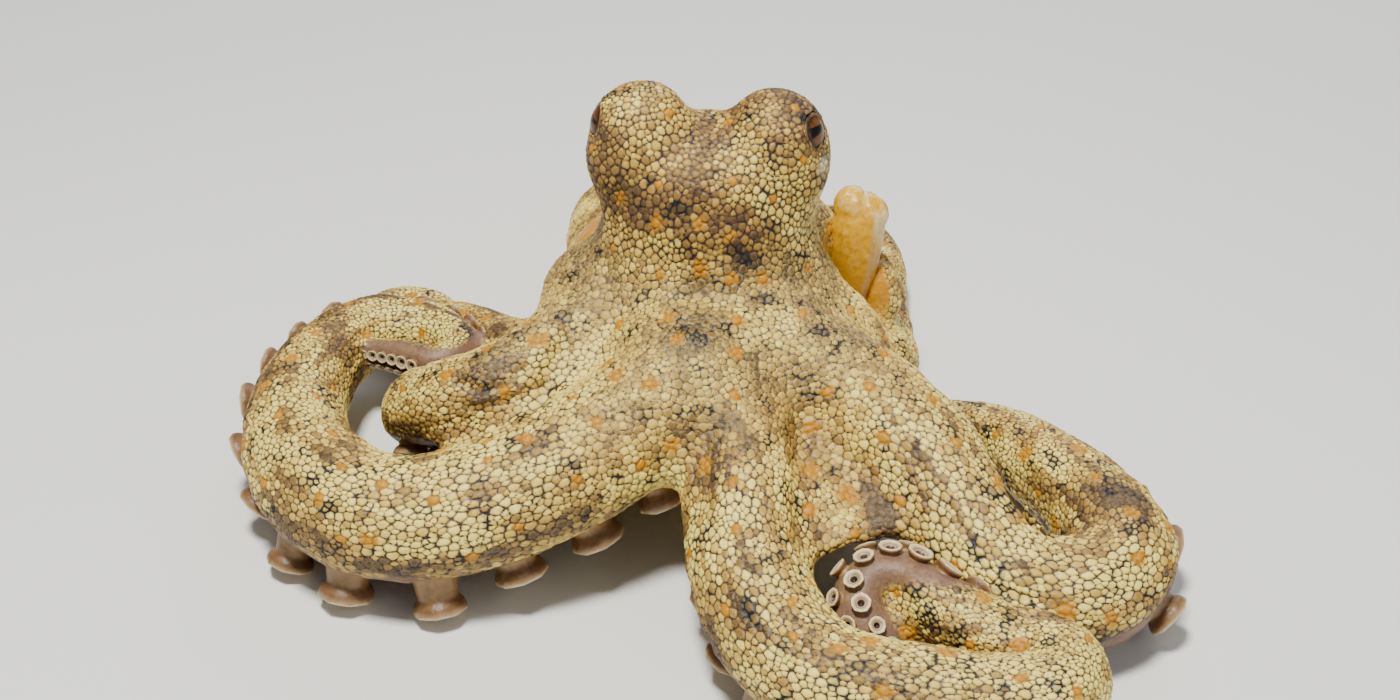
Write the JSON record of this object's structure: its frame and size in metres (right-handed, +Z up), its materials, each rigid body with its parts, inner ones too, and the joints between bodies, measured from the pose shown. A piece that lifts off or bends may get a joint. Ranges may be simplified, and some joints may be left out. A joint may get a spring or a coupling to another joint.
{
  "type": "octopus",
  "caption": "Life-size octopus at rest: raised head with two eye knobs, siphon, mantle behind, webbed crown and curling suckered arms.",
  "frame": {"origin": "centre of the flat oral disc round the mouth, on the floor", "axes": "+Z up; the head faces -Y and the mantle lies behind along +Y; +X is the animal's left side"},
  "size_m": [0.2918, 0.3553, 0.1313],
  "materials": {
    "skin": "sand and cream granules over darker brown grooves, with scattered orange papillae; moist satin",
    "funnel": "smooth moist orange-yellow",
    "eye": "glossy dark red-brown iris with a black slit pupil"
  },
  "bodies": {
    "root": {"arm_left_1_bend": "skin", "arm_left_1_middle": "skin", "arm_left_1_outer": "skin", "arm_left_1_root": "skin", "arm_left_1_tip": "skin", "arm_left_2_bend": "skin", "arm_left_2_middle": "skin", "arm_left_2_outer": "skin", "arm_left_2_root": "skin", "arm_left_2_tip": "skin", "arm_left_3_middle": "skin", "arm_left_3_root": "skin", "arm_left_3_tip": "skin", "arm_left_4_middle": "skin", "arm_left_4_root": "skin", "arm_left_4_tip": "skin", "arm_right_1_bend": "skin", "arm_right_1_middle": "skin", "arm_right_1_outer": "skin", "arm_right_1_root": "skin", "arm_right_1_tip": "skin", "arm_right_2_knee": "skin", "arm_right_2_outer": "skin", "arm_right_2_root": "skin", "arm_right_2_tip": "skin", "arm_right_3_middle": "skin", "arm_right_3_root": "skin", "arm_right_3_tip": "skin", "arm_right_4_middle": "skin", "arm_right_4_root": "skin", "arm_right_4_tip": "skin", "crown": "skin", "eye_left": "eye", "eye_right": "eye", "funnel": "funnel", "head": "skin", "mantle": "skin", "neck": "skin", "web_front": "skin", "web_left_front": "skin", "web_left_rear": "skin", "web_left_side": "skin", "web_rear": "skin", "web_right_front": "skin", "web_right_rear": "skin", "web_right_side": "skin"}
  },
  "joints": []
}
